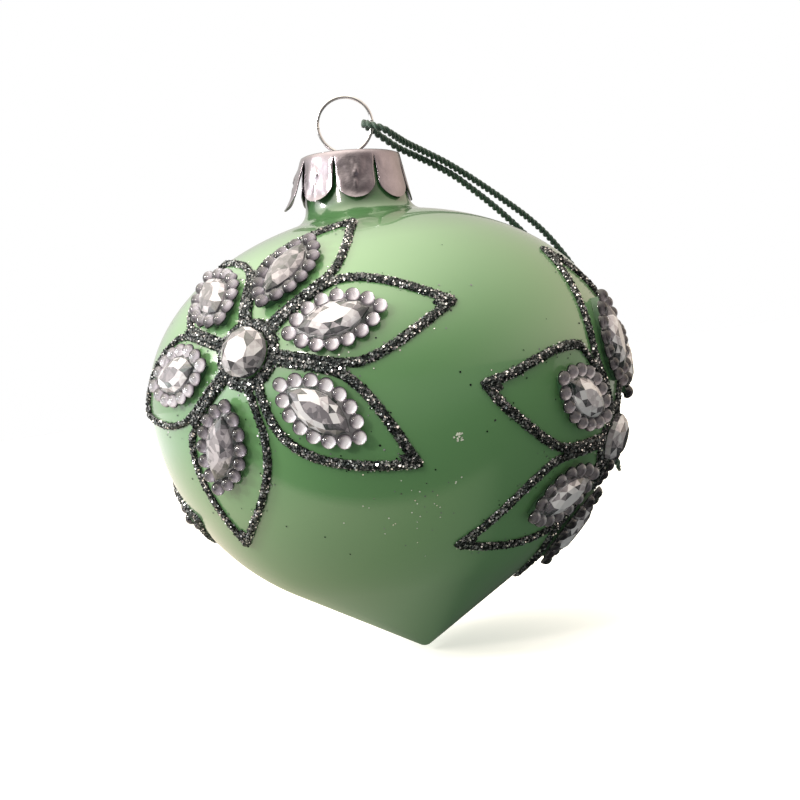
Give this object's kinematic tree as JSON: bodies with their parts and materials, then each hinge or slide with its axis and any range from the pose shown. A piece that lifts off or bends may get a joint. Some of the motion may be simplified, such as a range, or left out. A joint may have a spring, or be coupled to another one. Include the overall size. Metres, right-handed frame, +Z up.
{
  "type": "bulb ornament",
  "caption": "Onion-shaped blown-glass tree ornament with stone and glitter flowers, a scalloped crown cap, a sprung wire ring and a twisted cord that hangs it.",
  "frame": {"origin": "inside top of the wire ring, where a hook bears", "axes": "+Z up along the axis of the glass; -Y is the front as pictured; +X is to its right"},
  "size_m": [0.0951, 0.0932, 0.1074],
  "materials": {
    "green_glass": "opaque glossy green lacquer on blown glass",
    "cap_metal": "stamped bright sheet, creased by hand",
    "wire": "bright drawn wire",
    "cord": "twisted two-ply cord",
    "stone": "faceted clear acrylic over foil",
    "glitter": "charcoal and silver glitter in glue",
    "glue": "clear set glue"
  },
  "bodies": {
    "bulb": {"glass_bulb": "green_glass", "flower_1_centre_stone": "stone", "flower_2_centre_stone": "stone", "flower_3_centre_stone": "stone", "flower_1_petal_stone_1": "stone", "flower_1_petal_stone_2": "stone", "flower_1_petal_stone_3": "stone", "flower_1_petal_stone_4": "stone", "flower_1_petal_stone_5": "stone", "flower_1_petal_stone_6": "stone", "flower_2_petal_stone_1": "stone", "flower_2_petal_stone_2": "stone", "flower_2_petal_stone_3": "stone", "flower_2_petal_stone_4": "stone", "flower_2_petal_stone_5": "stone", "flower_2_petal_stone_6": "stone", "flower_3_petal_stone_1": "stone", "flower_3_petal_stone_2": "stone", "flower_3_petal_stone_3": "stone", "flower_3_petal_stone_4": "stone", "flower_3_petal_stone_5": "stone", "flower_3_petal_stone_6": "stone", "flower_1_glitter_outline": "glitter", "flower_2_glitter_outline": "glitter", "flower_3_glitter_outline": "glitter", "flower_1_glue_beds": "glue", "flower_2_glue_beds": "glue", "flower_3_glue_beds": "glue"},
    "cap": {"crown_cap": "cap_metal"},
    "hanger": {"hanger_wire": "wire", "hanging_cord": "cord", "cord_knot": "cord"}
  },
  "joints": [
    {"name": "cap_lift", "type": "slide", "parent": "bulb", "child": "cap", "axis": [0, 0, 1], "range_m": [0, 0.03]},
    {"name": "hanger_turn", "type": "hinge", "parent": "cap", "child": "hanger", "pos_m": [0, 0, 0], "axis": [0, 0, 1], "continuous": true}
  ]
}
